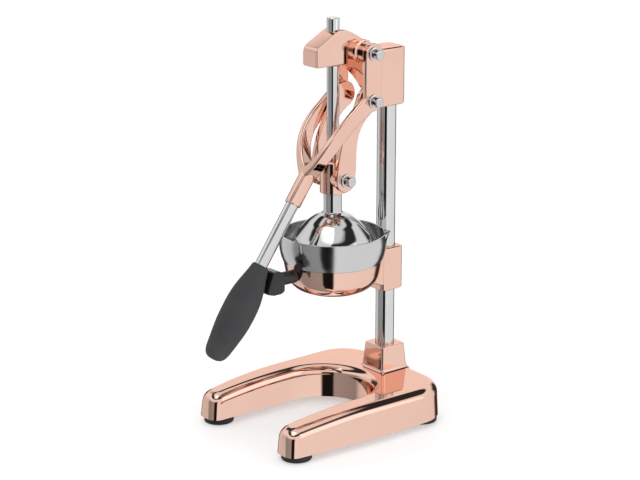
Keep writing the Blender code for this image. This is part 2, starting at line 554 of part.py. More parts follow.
# ------------------------------------------------------------------ dish, strainer, reamer
dish_outer = [(RIM_RADIUS, RIM_TOP), (57.7, 210.0), (58.4, 204.0), (58.0, 196.0), (56.5, 189.0),
              (54.6, 183.8), (50.6, 183.7), (47.4, 173.6), (42.0, 165.0), (33.0, 158.4), (14.0, 153.0),
              (13.0, 146.0)]
dish_inner = [(11.4, 146.0), (11.8, 153.6), (32.0, 160.6), (40.4, 166.8), (45.6, 174.4), (48.4, 184.6),
              (53.4, 185.6), (55.0, 190.0), (56.4, 196.4), (56.8, 204.0), (56.1, 210.0),
              (RIM_RADIUS - 1.5, RIM_TOP)]
LIP_ANGLE = atan2(0.78, 0.625)


def pour_lip(x, y, z):
    """Pull the rim out into a small pouring lip."""
    r = sqrt(x * x + y * y)
    away = (atan2(y, x) - LIP_ANGLE + pi) % (2 * pi) - pi
    lift = min(max((z + RIM_TOP - 199.0) / 15.0, 0.0), 1.0)
    pull = 5.6 * max(0.0, 1.0 - (away / 0.235) ** 2) ** 1.5 * lift ** 2 if r > 50 else 0.0
    return (x * (1 + pull / r), y * (1 + pull / r), z + pull * 0.12) if pull else (x, y, z)


turned("juice_dish", [(r, z - RIM_TOP) for r, z in dish_outer + dish_inner], CHROME, DISH_AXIS, at=(0, 0, RIM_TOP),
       steps=40, closed=True, bend=pour_lip)
basket = [(6.2, 186.4), (52.6, 186.4), (52.9, 186.9), (52.6, 187.5), (6.2, 187.5)]
strainer = turned("strainer_plate", [(r, z - RIM_TOP) for r, z in basket], CHROME, DISH_AXIS, at=(0, 0, RIM_TOP),
                  steps=36, closed=True)
for k in range(12):
    a = 2 * pi * (k + 0.5) / 12
    cut(strainer, pin_cutter("drain_%02d" % k, 2.2, (41.5 * cos(a), 41.5 * sin(a), 180), 12, (0, 0, 0), 8))
cone_rows = [(0.0, 219.0), (3.0, 217.6), (6.0, 214.6), (11.0, 209.0), (17.0, 201.6), (23.0, 194.6), (28.5, 189.4),
             (30.0, 188.0), (5.7, 188.0), (5.7, 183.6), (0.0, 183.6)]


def ribs(x, y, z):
    r = sqrt(x * x + y * y)
    share = min(max((217.0 - (z + RIM_TOP)) / 10.0, 0.0), 1.0) if z + RIM_TOP > 187.9 and r > 5.9 else 0.0
    scale = 1.0 + 0.09 * share * cos(8 * atan2(y, x))
    return (x * scale, y * scale, z)


turned("reamer_cone", [(r, z - RIM_TOP) for r, z in cone_rows], CHROME, DISH_AXIS, at=(0, 0, RIM_TOP), steps=40,
       bend=ribs)
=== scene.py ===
"""Looks of the lever citrus press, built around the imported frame.

Dimensions are in millimetres in the press frame: Z up, X to the machine's right, Y towards the
column, plunger axis at X = Y = 0, table at Z = 0.  They turn into metres, and into the row
frame, when a mesh is made.  Angles are in degrees where a table gives them.
"""

from math import atan2, cos, degrees, pi, radians, sin, sqrt

import bmesh
import bpy
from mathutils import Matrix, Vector


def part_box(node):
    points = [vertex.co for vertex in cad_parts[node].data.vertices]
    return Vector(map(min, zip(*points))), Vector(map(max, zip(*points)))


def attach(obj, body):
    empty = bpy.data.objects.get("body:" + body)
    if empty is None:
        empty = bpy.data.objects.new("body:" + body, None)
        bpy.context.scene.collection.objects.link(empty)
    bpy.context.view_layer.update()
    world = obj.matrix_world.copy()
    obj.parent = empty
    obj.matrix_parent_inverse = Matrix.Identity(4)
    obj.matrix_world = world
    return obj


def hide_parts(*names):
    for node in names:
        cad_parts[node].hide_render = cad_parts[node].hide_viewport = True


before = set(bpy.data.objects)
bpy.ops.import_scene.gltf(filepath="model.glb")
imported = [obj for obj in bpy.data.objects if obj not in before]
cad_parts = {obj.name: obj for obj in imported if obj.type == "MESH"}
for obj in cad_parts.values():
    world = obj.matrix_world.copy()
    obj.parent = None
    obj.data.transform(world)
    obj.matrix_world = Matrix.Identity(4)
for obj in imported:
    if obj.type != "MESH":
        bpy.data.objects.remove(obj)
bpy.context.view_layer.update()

MM = 0.001
GAP = 0.3
rod_low, rod_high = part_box("plunger_rod")
SHIFT_Y = (rod_low.y + rod_high.y) / 2 / MM      # the plunger axis in the row frame

# --- sizes shared by several pieces ------------------------------------------------
P1, P2, P3 = (31.0, 410.2), (30.8, 359.2), (0.0, 275.5)   # pivots in Y, Z: head, lever, plunger
CHEEK_IN, CHEEK_OUT = 25.0, 31.5
LINK_IN, LINK_OUT = 17.5, 23.5
LINK_SKIN = 1.2                      # left under the links' blind holes
PIN = 4.0                            # radius of every pivot bolt
ROD = 6.7                            # radius of the plunger rod
COLUMN_Y, COLUMN_R = 75.5, 10.5
SET_SCREW_R = 3.3                    # holes of the two set screws behind the column
SET_SCREW_Y = COLUMN_Y + 8.5
REST_SCREW_R, REST_Z = 2.3, 174.0    # the screw of the lever rest, and its height
COLLAR_PIN_R, COLLAR_PIN_Z = 2.1, 288.5
RIM_TOP = 214.0
JUNCTION = (-33.3, 284.5)            # where the lever's arms meet its socket (Y, Z)
LEVER_TILT = radians(-35.5)
LEVER_PIN_R = 1.8
LEVER_BORE = 7.3                     # the lever rod with its clearance
GRIP_START, GRIP_LENGTH = 111.0, 111.0
GRIP_INNER = 84.4                    # depth of the rod's way into the grip
GRIP_BOW = 1.6
SOCKET_R = 8.8
NOSE_HALF = 12.0                     # half width of the head's nose
BASE_BOTTOM, BASE_TOP_FRONT, BASE_TOP_REAR = 7.0, 34.6, 43.2
BASE_FRONT_Y, BASE_REAR_Y = -124.0, 100.0
BASE_HALF_TOE, BASE_HALF_MID, BASE_HALF_REAR = 86.0, 91.5, 92.5
BASE_EDGE = 11.0                     # radius of the rounded top edge
ARCH_START_Y, ARCH_END_Y = -104.0, -14.0
ARCH_LENGTH = 110.0
FOOT_SCREW_R = 2.3
U_CENTRE_Y, U_RADIUS = -14.0, 53.0
SIDES = ((1, "right"), (-1, "left"))

# --- camera ------------------------------------------------------------------------
CAMERA_AZIMUTH, CAMERA_PITCH = radians(51.296), radians(16.293)
camera_data = bpy.data.cameras.new("camera")
camera_data.sensor_width, camera_data.lens = 36.0, 111.15
camera_data.clip_start, camera_data.clip_end = 0.05, 50.0
camera = bpy.data.objects.new("camera", camera_data)
bpy.context.scene.collection.objects.link(camera)
camera.location = (1.5974, -1.2976 + SHIFT_Y * MM, 0.8061)
camera_back = Vector((sin(CAMERA_AZIMUTH) * cos(CAMERA_PITCH),
                      -cos(CAMERA_AZIMUTH) * cos(CAMERA_PITCH), sin(CAMERA_PITCH)))
camera.rotation_mode = "QUATERNION"
camera.rotation_quaternion = (-camera_back).to_track_quat("-Z", "Y")
bpy.context.scene.camera = camera
bpy.context.scene.view_settings.view_transform = "Standard"


# ------------------------------------------------------------------ materials
NOISE_MIDDLE = (0.3, 0.7)      # most of a noise texture lies between these values
POLISH_DEPTH = 0.00004         # metres


class Nodes:
    """Short hand for building a node tree."""

    def __init__(self, tree):
        self.tree = tree

    def add(self, kind, **values):
        node = self.tree.nodes.new(kind)
        for key, value in values.items():
            setattr(node, key, value)
        return node

    def link(self, source, target):
        self.tree.links.new(source, target)


def start_material(name, colour):
    """A new material, a node builder for it, and its Principled shader."""
    mat = bpy.data.materials.new(name)
    mat.use_nodes = True
    mat.diffuse_color = (*colour, 1.0)
    kit = Nodes(mat.node_tree)
    return mat, kit, mat.node_tree.nodes["Principled BSDF"]


def noise(kit, coord, scale, detail, stretch=None):
    """A noise texture on object coordinates; stretch gives a scale for each axis."""
    source = coord.outputs["Object"]
    if stretch:
        mapping = kit.add("ShaderNodeMapping")
        mapping.inputs["Scale"].default_value = stretch
        kit.link(source, mapping.inputs["Vector"])
        source = mapping.outputs["Vector"]
    tex = kit.add("ShaderNodeTexNoise")
    tex.inputs["Scale"].default_value = scale
    tex.inputs["Detail"].default_value = detail
    kit.link(source, tex.inputs["Vector"])
    return tex.outputs["Fac"]


def ranged(kit, value, from_low, from_high, low=0.0, high=1.0):
    """Maps a value between from_low and from_high to the range low to high."""
    node = kit.add("ShaderNodeMapRange")
    node.inputs["From Min"].default_value = from_low
    node.inputs["From Max"].default_value = from_high
    node.inputs["To Min"].default_value = low
    node.inputs["To Max"].default_value = high
    kit.link(value, node.inputs["Value"])
    return node.outputs["Result"]


def ramp_through(kit, value, stops):
    """A colour ramp through (position, colour) stops."""
    node = kit.add("ShaderNodeValToRGB")
    elements = node.color_ramp.elements
    for element, (place, colour) in zip(elements, (stops[0], stops[-1])):
        element.position, element.color = place, (*colour, 1.0)
    for place, colour in stops[1:-1]:
        elements.new(place).color = (*colour, 1.0)
    kit.link(value, node.inputs["Fac"])
    return node.outputs["Color"]


def two_tone(kit, value, first, second):
    return ramp_through(kit, value, [(0.35, first), (0.65, second)])


def bumped(kit, shader, value, strength, distance):
    """Fine relief from a noise value; distance is in metres."""
    bump = kit.add("ShaderNodeBump")
    bump.inputs["Strength"].default_value = strength
    bump.inputs["Distance"].default_value = distance
    kit.link(value, bump.inputs["Height"])
    kit.link(bump.outputs["Normal"], shader.inputs["Normal"])


def metal(name, bright, shade, rough, smudge, grain_scale, grain, stretch=None):
    """Polished metal: faint smudges in the gloss, slight tone changes, fine polishing grain."""
    mat, kit, shader = start_material(name, bright)
    coord = kit.add("ShaderNodeTexCoord")
    shader.inputs["Metallic"].default_value = 1.0
    kit.link(two_tone(kit, noise(kit, coord, 14.0, 3.0), shade, bright), shader.inputs["Base Color"])
    kit.link(ranged(kit, noise(kit, coord, 45.0, 6.0), *NOISE_MIDDLE, rough, smudge),
             shader.inputs["Roughness"])
    bumped(kit, shader, noise(kit, coord, grain_scale, 3.0, stretch), grain, POLISH_DEPTH)
    return mat


def soft(name, base, light, rough, smudge, grain_scale, grain, depth):
    """Rubber or plastic: grained skin, slightly uneven tone and gloss."""
    mat, kit, shader = start_material(name, base)
    coord = kit.add("ShaderNodeTexCoord")
    kit.link(two_tone(kit, noise(kit, coord, 30.0, 5.0), base, light), shader.inputs["Base Color"])
    kit.link(ranged(kit, noise(kit, coord, 120.0, 5.0), *NOISE_MIDDLE, rough, smudge),
             shader.inputs["Roughness"])
    bumped(kit, shader, noise(kit, coord, grain_scale, 6.0), grain, depth)
    return mat


COPPER = metal("rose_copper", (0.90, 0.60, 0.495), (0.88, 0.57, 0.465), 0.035, 0.075, 260.0, 0.12)
COPPER.node_tree.nodes["Principled BSDF"].inputs["Specular Tint"].default_value = (1.0, 0.80, 0.72, 1.0)
CHROME = metal("bright_chrome", (0.66, 0.66, 0.665), (0.62, 0.62, 0.63), 0.03, 0.07, 300.0, 0.08)
SATIN = metal("satin_chrome", (0.66, 0.66, 0.665), (0.62, 0.62, 0.63), 0.13, 0.20, 700.0, 0.15)
BRUSHED = metal("drawn_chrome", (0.74, 0.74, 0.745), (0.70, 0.70, 0.71), 0.05, 0.11, 900.0, 0.10,
                (1.0, 1.0, 0.02))
STEEL = metal("zinc_steel", (0.62, 0.62, 0.63), (0.52, 0.52, 0.53), 0.22, 0.38, 700.0, 0.3)
BRONZE = metal("bearing_bronze", (0.62, 0.45, 0.22), (0.52, 0.36, 0.17), 0.28, 0.42, 700.0, 0.3)
RUBBER = soft("foot_rubber", (0.012, 0.012, 0.013), (0.022, 0.022, 0.024), 0.55, 0.8, 1400.0, 0.5, 0.0002)
GRIP = soft("soft_grip", (0.048, 0.049, 0.052), (0.060, 0.061, 0.064), 0.62, 0.8, 2200.0, 0.45, 0.00012)
PLASTIC = soft("black_plastic", (0.012, 0.012, 0.013), (0.02, 0.02, 0.022), 0.16, 0.32, 900.0, 0.15, 0.0001)


# ------------------------------------------------------------------ mesh helpers
ALONG_X = (0, pi / 2, 0)              # turns that lay a turned shape's own axis down
TOWARDS_REAR = (-pi / 2, 0, 0)
TOWARDS_FRONT = (pi / 2, 0, 0)
cutters = []                          # shapes to remove once the piece they form is baked


def outward(side):
    """The turn that points a shape's axis away from the middle, to the right or left."""
    return (0, side * pi / 2, 0)


def make(name, verts, faces, at=(0, 0, 0), turn=(0, 0, 0)):
    """A mesh object from millimetres in the press frame, placed at a point of that frame."""
    mesh = bpy.data.meshes.new(name)
    mesh.from_pydata([Vector(v) * MM for v in verts], [], faces)
    work = bmesh.new()
    work.from_mesh(mesh)
    bmesh.ops.remove_doubles(work, verts=work.verts, dist=1e-7)
    bmesh.ops.recalc_face_normals(work, faces=work.faces)
    work.to_mesh(mesh)
    work.free()
    obj = bpy.data.objects.new(name, mesh)
    obj.location = (Vector(at) + Vector((0, SHIFT_Y, 0))) * MM
    obj.rotation_euler = turn
    bpy.context.scene.collection.objects.link(obj)
    return obj


def tool(obj):
    cutters.append(obj)
    return obj


def combine(obj, other, operation):
    mod = obj.modifiers.new(operation.title(), "BOOLEAN")
    mod.solver, mod.operation, mod.object = "EXACT", operation, other


def cut(obj, *others):
    for other in others:
        combine(obj, tool(other), "DIFFERENCE")


def join(obj, *others):
    for other in others:
        combine(obj, tool(other), "UNION")


def soften(obj, width, segments=4, angle=40):
    mod = obj.modifiers.new("Edge", "BEVEL")
    mod.width, mod.segments = width * MM, segments
    mod.limit_method, mod.angle_limit = "ANGLE", radians(angle)
    return obj


def finish_piece(obj, body, material, nodes, sharp=35, weighted=False):
    """Bakes the modifiers, removes the cutters, and gives the piece its place in the frame."""
    if obj.modifiers:
        bpy.context.view_layer.update()
        graph = bpy.context.evaluated_depsgraph_get()
        baked = bpy.data.meshes.new_from_object(obj.evaluated_get(graph))
        obj.modifiers.clear()
        obj.data = baked
    for other in cutters:
        bpy.data.objects.remove(other, do_unlink=True)
    cutters.clear()
    bpy.context.view_layer.update()
    obj.data.transform(obj.matrix_world)
    obj.location, obj.rotation_euler = (0, 0, 0), (0, 0, 0)
    obj.data.shade_smooth()
    obj.data.set_sharp_from_angle(angle=radians(sharp))
    if weighted:
        mod = obj.modifiers.new("Face weighted normals", "WEIGHTED_NORMAL")
        mod.keep_sharp = True
    obj.data.materials.clear()
    obj.data.materials.append(material)
    for face in obj.data.polygons:
        face.material_index = 0
    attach(obj, body)
    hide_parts(*nodes)


def rounded_line(points, corners=(), steps=6):
    """A Catmull-Rom line through the points, broken where a point is listed in corners."""
    breaks = [0] + sorted(corners) + [len(points) - 1]
    out = []
    for first, last in zip(breaks, breaks[1:]):
        part = [tuple(p) for p in points[first:last + 1]]
        if len(part) < 2:
            continue
        if len(part) == 2:
            out.append(part[0])
            continue
        before = tuple(2 * p - q for p, q in zip(part[0], part[1]))
        after = tuple(2 * p - q for p, q in zip(part[-1], part[-2]))
        pad = [before] + part + [after]
        for k in range(len(part) - 1):
            for s in range(steps):
                t = s / steps
                out.append(tuple(
                    0.5 * (2 * b + (c - a) * t + (2 * a - 5 * b + 4 * c - d) * t * t
                           + (3 * b - a - 3 * c + d) * t * t * t)
                    for a, b, c, d in zip(*pad[k:k + 4])))
    out.append(tuple(points[-1]))
    return out


def lathe(profile, steps, closed=False, bend=None):
    """Verts and faces of a turned body from (radius, height) points.

    An open profile starts and ends on the axis; a closed one is a ring.  bend moves each vertex.
    """
    verts, faces, rows = [], [], []
    for r, h in profile:
        if r < 1e-6:
            rows.append([len(verts)])
            verts.append((0.0, 0.0, h))
        else:
            rows.append(list(range(len(verts), len(verts) + steps)))
            verts += [(r * cos(2 * pi * k / steps), r * sin(2 * pi * k / steps), h) for k in range(steps)]
    if bend:
        verts = [bend(*v) for v in verts]
    for low, high in list(zip(rows, rows[1:])) + ([(rows[-1], rows[0])] if closed else []):
        for k in range(steps):
            n = (k + 1) % steps
            if len(low) == 1 and len(high) == 1:
                continue
            if len(low) == 1:
                faces.append((low[0], high[k], high[n]))
            elif len(high) == 1:
                faces.append((low[k], low[n], high[0]))
            else:
                faces.append((low[k], low[n], high[n], high[k]))
    return verts, faces


def turned(name, profile, at=(0, 0, 0), turn=(0, 0, 0), steps=96, closed=False, bend=None):
    return make(name, *lathe(profile, steps, closed, bend), at, turn)


def hole(radius, start, length, turn=(0, 0, 0), steps=64):
    """A plain cylinder from a point along its own axis."""
    return turned("hole", [(0, 0), (radius, 0), (radius, length), (0, length)], start, turn, steps)


def loft(rings):
    """Verts and faces of a closed body through rings of the same count, capped flat."""
    count = len(rings[0])
    verts = [p for ring in rings for p in ring]
    faces = [tuple(range(count))[::-1], tuple(range(count * (len(rings) - 1), count * len(rings)))]
    for level in range(len(rings) - 1):
        a, b = level * count, (level + 1) * count
        faces += [(a + k, a + (k + 1) % count, b + (k + 1) % count, b + k) for k in range(count)]
    return verts, faces


def plate(name, outline, x0, x1, edge, segments=4, angle=40):
    """A flat plate with rounded edges: an outline in Y and Z, thick in X."""
    obj = make(name, *loft([[(x0, y, z) for y, z in outline], [(x1, y, z) for y, z in outline]]))
    return soften(obj, edge, segments, angle)


def arc(cx, cy, r, start, end, count):
    """Points along a circle between two angles in degrees."""
    return [(cx + r * cos(radians(start + (end - start) * k / count)),
             cy + r * sin(radians(start + (end - start) * k / count))) for k in range(count + 1)]


def rounded_rect(cx, cy, half_x, half_y, r, count=8):
    pts = []
    for sx, sy, start in ((1, 1, 0), (-1, 1, 90), (-1, -1, 180), (1, -1, 270)):
        pts += arc(cx + sx * (half_x - r), cy + sy * (half_y - r), r, start, start + 90, count)
    return pts


def block(name, cy, half_x, half_y, z0, z1, corner, edge):
    """A standing block with rounded corners and quarter-round top and bottom edges."""
    steps = 8
    climb = [radians(90 * k / steps) for k in range(steps + 1)]
    fall = [radians(90 - 90 * k / steps) for k in range(steps + 1)]
    rows = [(z0 + edge * (1 - cos(a)), edge * (1 - sin(a))) for a in climb]
    rows += [(z1 - edge * (1 - cos(a)), edge * (1 - sin(a))) for a in fall]
    rings = []
    for z, inset in rows:
        outline = rounded_rect(0, cy, half_x - inset, half_y - inset, max(corner - inset * 0.6, 0.8))
        rings.append([(x, y, z) for x, y in outline])
    return make(name, *loft(rings))


# ------------------------------------------------------------------ base casting
def base_outline(out, inn, front, rear, corner=12.0, rear_corner=45.0):
    """Plan of the horseshoe, drawn in by its own amount on each side."""
    r = U_RADIUS + inn
    yf, yr = BASE_FRONT_Y + front, BASE_REAR_Y - rear
    toe, mid, back = BASE_HALF_TOE - out, BASE_HALF_MID - out, BASE_HALF_REAR - out
    half = arc(0, U_CENTRE_Y, r, 90, 0, 40)
    half += arc(r + corner, yf + corner, corner, 180, 270, 14)
    half += arc(toe - corner, yf + corner, corner, 270, 360, 14)
    side = [(toe, yf + corner), (toe + (mid - toe) * 0.62, -70.0), (mid, -20.0), (back - 0.3, 25.0),
            (back, yr - rear_corner)]
    half += rounded_line(side, steps=6)[1:-1]
    half += arc(back - rear_corner, yr - rear_corner, rear_corner, 0, 90, 24)
    half += [(24.0, yr + 0.6), (0.0, yr + 0.8)]
    return half + [(-x, y) for x, y in reversed(half[1:-1])]


def base_top(y):
    """Height of the top face: a straight slope at the toes, an arch, then level."""
    rise = BASE_TOP_REAR - BASE_TOP_FRONT
    if y >= ARCH_END_Y:
        return BASE_TOP_REAR
    if y >= ARCH_START_Y:
        return BASE_TOP_REAR - rise * ((ARCH_END_Y - y) / ARCH_LENGTH) ** 2
    slope = 2 * rise * (ARCH_END_Y - ARCH_START_Y) / ARCH_LENGTH ** 2
    return base_top(ARCH_START_Y) + (y - ARCH_START_Y) * slope


def arch_top(obj, step):
    """Slice the level top of the legs across, mark its rim, and drop it to base_top."""
    work = bmesh.new()
    work.from_mesh(obj.data)
    y = ARCH_START_Y
    while y < ARCH_END_Y - 1.0:
        bmesh.ops.bisect_plane(work, geom=work.verts[:] + work.edges[:] + work.faces[:], dist=1e-6,
                               plane_co=(0, y * MM, 0), plane_no=(0, 1, 0))
        y += step
    weight = work.edges.layers.float.new("bevel_weight_edge")
    for edge in work.edges:
        if sum(face.normal.z > 0.99 for face in edge.link_faces) == 1:
            edge[weight] = 1.0
    for vert in work.verts:
        if vert.co.z > (BASE_BOTTOM + BASE_TOP_REAR) / 2 * MM:
            vert.co.z = base_top(vert.co.y / MM) * MM
    work.to_mesh(obj.data)
    work.free()


FEET = {"front_right": (69.7, -105.2), "front_left": (-69.7, -105.2),
        "rear_right": (69.7, 71.3), "rear_left": (-69.7, 71.3)}
low_ring = [(x, y, BASE_BOTTOM) for x, y in base_outline(0, 0, 0, 0)]
top_ring = [(x, y, BASE_TOP_REAR) for x, y in base_outline(2.0, 0.8, 2.5, 2.0, 12.5, 43.0)]
base = make("base", *loft([low_ring, top_ring]))
arch_top(base, step=8.0)
round_top = base.modifiers.new("Round top edge", "BEVEL")
round_top.width, round_top.segments, round_top.limit_method = BASE_EDGE * MM, 12, "WEIGHT"
round_top.use_clamp_overlap = False
socket = []
for z, half in ((34.0, 21.6), (42.4, 21.2), (43.0, 20.2), (43.8, 19.3), (45.2, 18.7), (47.5, 18.3),
                (69.6, 16.45), (70.7, 16.25), (71.3, 15.9), (71.6, 15.3)):
    socket.append([(x, y, z) for x, y in rounded_rect(0, COLUMN_Y, half, half, 4.0)])
join(base, make("socket_form", *loft(socket)))
pocket_floor = [(x, y, 3.0) for x, y in base_outline(5, 5, 5, 5, 6.0, 40.0)]
pocket_roof = [(x, y, 27.0) for x, y in base_outline(9, 8, 9, 9, 5.0, 36.0)]
pocket = tool(make("pocket_form", *loft([pocket_floor, pocket_roof])))
for fx, fy in FEET.values():
    cut(pocket, hole(11.0, (fx, fy, 0), 45.0, steps=40))
cut(pocket, hole(17.5, (0, COLUMN_Y, 0), 45.0))
combine(base, pocket, "DIFFERENCE")
cut(base, hole(COLUMN_R + GAP, (0, COLUMN_Y, 19.7), 60), hole(4.3, (0, COLUMN_Y, 0), 30, steps=32),
    hole(9.5, (0, COLUMN_Y, 0), 14.0))
for fx, fy in FEET.values():
    cut(base, hole(FOOT_SCREW_R, (fx, fy, 0), 22.0, steps=24))
finish_piece(base, "frame", COPPER, ["base_casting"], 32, True)

for tag, (fx, fy) in FEET.items():
    top = BASE_BOTTOM - GAP
    profile = [(2.4, 2.6), (5.6, 2.6), (5.6, 0.0), (15.0, 0.0), (15.9, 0.3), (16.4, 1.1), (16.4, 5.6),
               (16.1, 6.3), (15.4, top), (2.4, top)]
    finish_piece(turned("foot_" + tag, profile, (fx, fy, 0), steps=64, closed=True), "frame",
                 RUBBER, ["foot_pad_" + tag])

# ------------------------------------------------------------------ column
profile = [(0, 46), (4.3, 46), (4.3, 20), (9.7, 20), (10.5, 20.8), (10.5, 399.2), (9.7, 400), (0, 400)]
finish_piece(turned("column", profile, (0, COLUMN_Y, 0), steps=128), "frame", BRUSHED, ["column_bar"])

# ------------------------------------------------------------------ head casting
head = block("head", 71.5, 15.0, 19.5, 346.0, 410.0, 7.0, 2.6)
top_line = [(58.0, 405.0), (52.0, 412.6), (40.0, 418.9), (28.0, 425.4), (18.0, 431.0), (10.0, 434.9),
            (4.0, 436.0), (-1.0, 435.7), (-6.0, 433.5)]
under = [(4.0, 398.8), (13.6, 396.5), (21.0, 392.3), (28.8, 386.5), (37.0, 378.5), (44.5, 369.0),
         (50.0, 360.0), (56.0, 352.0)]
nose_side = [(-31.0, 399.0)] + rounded_line(under, steps=4) + [(70.0, 352.0), (70.0, 404.0)]
nose_side += rounded_line(top_line[1:], steps=4) + [(-28.0, 421.2), (-31.0, 417.6)]
nose = plate("nose_form", nose_side, -NOSE_HALF, NOSE_HALF, 1.5, 5, 30)
front_pad = make("front_pad_form", *loft([
    [(x, -29.0, 408.0 + z) for x, z in rounded_rect(0, 0, 10.9, 7.9, 1.2, 4)],
    [(x, -31.9, 408.0 + z) for x, z in rounded_rect(0, 0, 10.7, 7.7, 1.2, 4)],
    [(x, -32.2, 408.0 + z) for x, z in rounded_rect(0, 0, 10.2, 7.2, 1.0, 4)]]))
join(head, nose, front_pad)
for side, _ in SIDES:
    boss = [(0, 0), (13.0, 0), (13.0, 1.8), (12.6, 2.4), (11.2, 3.0), (11.0, 3.6), (11.0, 12.0), (10.8, 12.4),
            (10.3, 12.8), (0, 12.8)]
    join(head, turned("boss_form", boss, (side * (NOSE_HALF - 0.1), *P1), outward(side)))
cut(head, hole(COLUMN_R + GAP, (0, COLUMN_Y, 340), 60.3),
    turned("rod_bore", [(0, 390), (9.0, 390), (9.0, 416), (ROD + GAP, 416), (ROD + GAP, 450), (0, 450)]),
    hole(PIN + GAP, (-30, *P1), 60, ALONG_X), hole(SET_SCREW_R, (0, SET_SCREW_Y, 378), 20, TOWARDS_REAR))
finish_piece(head, "frame", COPPER, ["head_casting"], 32, True)

# ------------------------------------------------------------------ bowl holder
shell = rounded_line([(0, 149.0), (20, 149.0), (34, 150.5), (42, 154.5), (48, 161.0), (50.6, 166.6),
                      (52, 173.0), (54.0, 183.4), (0, 183.4)], (1, 6, 7), 6)
holder = turned("holder", shell, steps=160)
rings = []
for y, half, z0, z1 in ((30.0, 13.0, 152.0, 180.0), (52.0, 13.2, 147.0, 182.0), (66.0, 13.4, 141.0, 183.0)):
    rings.append([(x, y, z) for x, z in rounded_rect(0, (z0 + z1) / 2, half, (z1 - z0) / 2, 3.0)])
join(holder, make("arm_form", *loft(rings)), block("holder_collar_form", 75.0, 15.0, 15.0, 137.0, 186.0, 6.0, 1.8))
space = rounded_line([(0, 190.0), (51.0, 190.0), (51.0, 183.4), (49.0, 173.5), (45.2, 163.2), (40.0, 157.6),
                      (33.0, 153.8), (19.0, 152.2), (17.0, 150.0), (17.0, 140.0), (0, 140.0)], (1, 2, 7, 8, 9), 4)
cut(holder, turned("space_form", space, steps=160), hole(COLUMN_R + GAP, (0, COLUMN_Y, 130), 70),
    hole(SET_SCREW_R, (0, SET_SCREW_Y, 161), 20, TOWARDS_REAR),
    hole(REST_SCREW_R, (0, -60, REST_Z), 20, TOWARDS_REAR, 32))
finish_piece(holder, "frame", COPPER, ["bowl_holder"], 32, True)

# ------------------------------------------------------------------ lever rest
rest_neck = [(0, 0), (7.2, 0), (7.2, 22.0), (0, 22.0)]
rest = turned("lever_rest_piece", rest_neck, (0, -53.4, REST_Z), TOWARDS_FRONT)
rest_side = [(-73.5, 163.5), (-73.5, 183.0), (-79.0, 186.0), (-88.5, 187.0), (-91.5, 179.5), (-96.0, 168.0),
             (-96.5, 163.5), (-88.0, 161.0), (-78.0, 161.0)]
join(rest, plate("rest_head_form", rest_side, -11.0, 11.0, 1.6, 5, 25))
rest_fit = [(0, 183.4), (54.3, 183.4), (52.3, 173.0), (50.9, 167.0), (48.3, 161.0), (40, 150.0), (0, 150.0)]
cut(rest, turned("rest_fit", rest_fit, steps=160),
    turned("rest_way", [(0, 0), (REST_SCREW_R, 0), (REST_SCREW_R, 29.7), (4.4, 29.7), (4.4, 70), (0, 70)],
           (0, -40, REST_Z), TOWARDS_FRONT, 40))
finish_piece(rest, "frame", PLASTIC, ["lever_rest"], 40, True)

# ------------------------------------------------------------------ lever fork
ARM_PATH = [(28.25, 30.8, 359.2, 10.6, 3.25), (28.25, 21.0, 354.0, 9.8, 3.25), (28.25, 10.0, 346.2, 8.8, 3.25),
            (28.0, -1.5, 337.3, 8.3, 3.3), (26.6, -12.0, 326.6, 8.1, 3.6), (22.8, -20.5, 315.0, 8.0, 4.0),
            (16.8, -26.5, 303.4, 8.0, 4.4), (9.2, -30.8, 292.6, 8.2, 5.0), (0.0, -34.6, 283.2, 8.6, 6.0)]


def arm_rings(side):
    rows = rounded_line(ARM_PATH, steps=5)
    pts = [Vector((side * r[0], r[1], r[2])) for r in rows]
    out = []
    for k, (point, row) in enumerate(zip(pts, rows)):
        ahead = (pts[min(k + 1, len(pts) - 1)] - pts[max(k - 1, 0)]).normalized()
        deep = Vector((0.0, -ahead.z, ahead.y)).normalized()
        thick = ahead.cross(deep).normalized()
        out.append([tuple(point + deep * u + thick * v) for u, v in rounded_rect(0, 0, row[3], row[4], 2.4, 5)])
    return out


def stadium(a, b, r, count=32):
    ang = degrees(atan2(b[1] - a[1], b[0] - a[0]))
    return arc(a[0], a[1], r, ang + 90, ang + 270, count) + arc(b[0], b[1], r, ang - 90, ang + 90, count)


fork_profile = [(0, 4.0), (SOCKET_R - 2.0, 3.0), (SOCKET_R, -3.0), (SOCKET_R, -37.0), (SOCKET_R - 0.3, -37.7),
                (SOCKET_R - 1.0, -38.0), (0, -38.0)]
fork = turned("fork", fork_profile, (0, *JUNCTION), (LEVER_TILT, 0, 0))
for side, _ in SIDES:
    x_in, x_out = sorted((side * CHEEK_IN, side * CHEEK_OUT))
    join(fork, plate("cheek_form", stadium(P1, P2, 11.2), x_in, x_out, 1.2),
         make("arm_form", *loft(arm_rings(side))))
axis = Vector((0.0, sin(LEVER_TILT), -cos(LEVER_TILT)))
bore_start = Vector((0, *JUNCTION)) + axis * 8.0
pin_at = Vector((0, *JUNCTION)) + axis * 26.0
cut(fork, hole(PIN + GAP, (-40, *P1), 80, ALONG_X), hole(PIN + GAP, (-40, *P2), 80, ALONG_X),
    turned("lever_bore", [(0, 0), (LEVER_BORE, 0), (LEVER_BORE, -40), (0, -40)], tuple(bore_start),
           (LEVER_TILT, 0, 0)),
    hole(LEVER_PIN_R, (-12, pin_at.y, pin_at.z), 17, ALONG_X, 24))
finish_piece(fork, "lever", COPPER, ["lever_fork"], 32, True)

